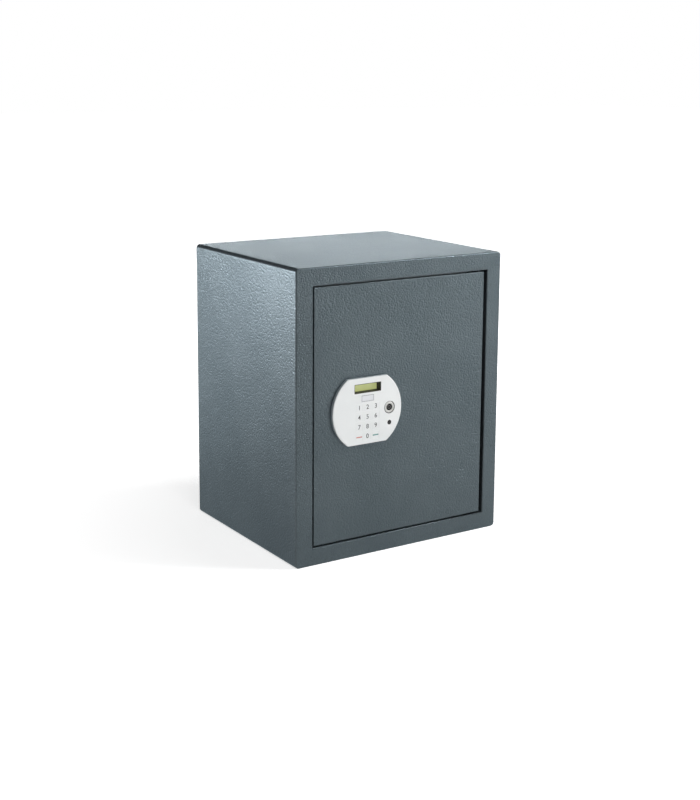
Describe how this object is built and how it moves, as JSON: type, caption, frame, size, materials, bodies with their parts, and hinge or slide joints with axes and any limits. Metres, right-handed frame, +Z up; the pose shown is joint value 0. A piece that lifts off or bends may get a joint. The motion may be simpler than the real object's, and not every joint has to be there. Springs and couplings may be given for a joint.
{
  "type": "furniture safe",
  "caption": "Free-standing steel furniture safe with a hinged door, white round keypad panel and display, and a motor-driven pair of locking bolts.",
  "frame": {"origin": "under the middle of the whole object, on the surface it stands on", "axes": "+X to the right seen from the front (hinge side), +Y to the back, +Z up"},
  "size_m": [0.416, 0.3544, 0.5],
  "materials": {
    "powder_coat": "dark blue-grey powder coat with a fine hammered grain",
    "inner_coat": "smoother grey powder coat",
    "zinc_steel": "zinc-plated steel sheet and small parts",
    "bolt_steel": "turned and plated steel",
    "brass": "machined brass",
    "white_plastic": "white satin moulded plastic",
    "key_plastic": "white satin moulded plastic with printed figures",
    "black_plastic": "black moulded plastic",
    "nylon": "natural nylon",
    "black_rubber": "soft black rubber",
    "board": "green printed circuit board with its parts",
    "display": "reflective yellow-green display glass",
    "smoked": "smoked clear plastic",
    "ring_metal": "satin plated metal",
    "badge": "bare satin aluminium plate",
    "cell_wrap": "printed-free shrink wrap and bare steel ends",
    "leads": "insulated wire",
    "mat": "short-pile needle felt"
  },
  "bodies": {
    "body": {"body_shell": "powder_coat", "door_frame": "powder_coat", "back_panel": "powder_coat", "stop_frame": "inner_coat", "hinge_brackets": "inner_coat", "hinge_bushes": "brass", "hinge_washers": "zinc_steel", "stop_bumpers": "black_rubber", "shelf": "inner_coat", "shelf_supports": "inner_coat", "floor_mat": "mat"},
    "door": {"door_plate": "powder_coat", "door_ribs": "inner_coat", "hinge_stile": "inner_coat", "hinge_blocks": "inner_coat", "hinge_pins": "bolt_steel", "lock_case": "inner_coat", "cover_posts": "zinc_steel", "bolt_guides": "nylon", "carriage_studs": "bolt_steel", "gear_pivot": "bolt_steel", "gear_motor": "zinc_steel", "motor_bracket": "zinc_steel", "main_board": "board", "board_posts": "zinc_steel", "battery_tray": "black_plastic", "batteries": "cell_wrap", "inner_cover": "inner_coat", "cover_screws": "zinc_steel", "wire_harness": "leads", "panel_housing": "white_plastic", "panel_screws": "zinc_steel", "display_frame": "black_plastic", "display_lcd": "display", "keypad_board": "board", "key_domes": "zinc_steel", "reader_ring": "ring_metal", "reader_disc": "black_plastic", "status_window": "smoked", "badge_plate": "badge"},
    "bolt_works": {"bolt_carriage": "zinc_steel", "gear_rack": "brass", "locking_bolts": "bolt_steel", "bolt_screws": "bolt_steel"},
    "wheel": {"reduction_gear": "nylon"},
    "pinion": {"motor_pinion": "brass"},
    "battery_hatch": {"battery_cover": "black_plastic"},
    "key_1_cap": {"key_1": "key_plastic"},
    "key_2_cap": {"key_2": "key_plastic"},
    "key_3_cap": {"key_3": "key_plastic"},
    "key_4_cap": {"key_4": "key_plastic"},
    "key_5_cap": {"key_5": "key_plastic"},
    "key_6_cap": {"key_6": "key_plastic"},
    "key_7_cap": {"key_7": "key_plastic"},
    "key_8_cap": {"key_8": "key_plastic"},
    "key_9_cap": {"key_9": "key_plastic"},
    "key_cancel_cap": {"key_cancel": "key_plastic"},
    "key_0_cap": {"key_0": "key_plastic"},
    "key_enter_cap": {"key_enter": "key_plastic"}
  },
  "joints": [
    {"name": "door_swing", "type": "hinge", "parent": "body", "child": "door", "pos_m": [0.1605, -0.15925, 0.25], "axis": [0, 0, 1], "range_deg": [0, 105]},
    {"name": "bolt_throw", "type": "slide", "parent": "door", "child": "bolt_works", "axis": [-1, 0, 0], "range_m": [0, 0.018]},
    {"name": "wheel_spin", "type": "hinge", "parent": "door", "child": "wheel", "pos_m": [-0.07, -0.15, 0.17877], "axis": [0, -1, 0], "range_deg": [0, 180.1]},
    {"name": "pinion_spin", "type": "hinge", "parent": "door", "child": "pinion", "pos_m": [-0.07, -0.148, 0.15776], "axis": [0, 1, 0], "range_deg": [0, 480.2]},
    {"name": "hatch_slide", "type": "slide", "parent": "door", "child": "battery_hatch", "axis": [0, 0, -1], "range_m": [0, 0.028]},
    {"name": "key_1_press", "type": "slide", "parent": "door", "child": "key_1_cap", "axis": [0, 1, 0], "range_m": [0, 0.0008], "stiffness_N_per_m": 400},
    {"name": "key_2_press", "type": "slide", "parent": "door", "child": "key_2_cap", "axis": [0, 1, 0], "range_m": [0, 0.0008], "stiffness_N_per_m": 400},
    {"name": "key_3_press", "type": "slide", "parent": "door", "child": "key_3_cap", "axis": [0, 1, 0], "range_m": [0, 0.0008], "stiffness_N_per_m": 400},
    {"name": "key_4_press", "type": "slide", "parent": "door", "child": "key_4_cap", "axis": [0, 1, 0], "range_m": [0, 0.0008], "stiffness_N_per_m": 400},
    {"name": "key_5_press", "type": "slide", "parent": "door", "child": "key_5_cap", "axis": [0, 1, 0], "range_m": [0, 0.0008], "stiffness_N_per_m": 400},
    {"name": "key_6_press", "type": "slide", "parent": "door", "child": "key_6_cap", "axis": [0, 1, 0], "range_m": [0, 0.0008], "stiffness_N_per_m": 400},
    {"name": "key_7_press", "type": "slide", "parent": "door", "child": "key_7_cap", "axis": [0, 1, 0], "range_m": [0, 0.0008], "stiffness_N_per_m": 400},
    {"name": "key_8_press", "type": "slide", "parent": "door", "child": "key_8_cap", "axis": [0, 1, 0], "range_m": [0, 0.0008], "stiffness_N_per_m": 400},
    {"name": "key_9_press", "type": "slide", "parent": "door", "child": "key_9_cap", "axis": [0, 1, 0], "range_m": [0, 0.0008], "stiffness_N_per_m": 400},
    {"name": "key_cancel_press", "type": "slide", "parent": "door", "child": "key_cancel_cap", "axis": [0, 1, 0], "range_m": [0, 0.0008], "stiffness_N_per_m": 400},
    {"name": "key_0_press", "type": "slide", "parent": "door", "child": "key_0_cap", "axis": [0, 1, 0], "range_m": [0, 0.0008], "stiffness_N_per_m": 400},
    {"name": "key_enter_press", "type": "slide", "parent": "door", "child": "key_enter_cap", "axis": [0, 1, 0], "range_m": [0, 0.0008], "stiffness_N_per_m": 400}
  ],
  "couplings": [
    {"joint": "wheel_spin", "follows": "bolt_throw", "rad_per_m": 174.53},
    {"joint": "pinion_spin", "follows": "bolt_throw", "rad_per_m": 465.42}
  ]
}
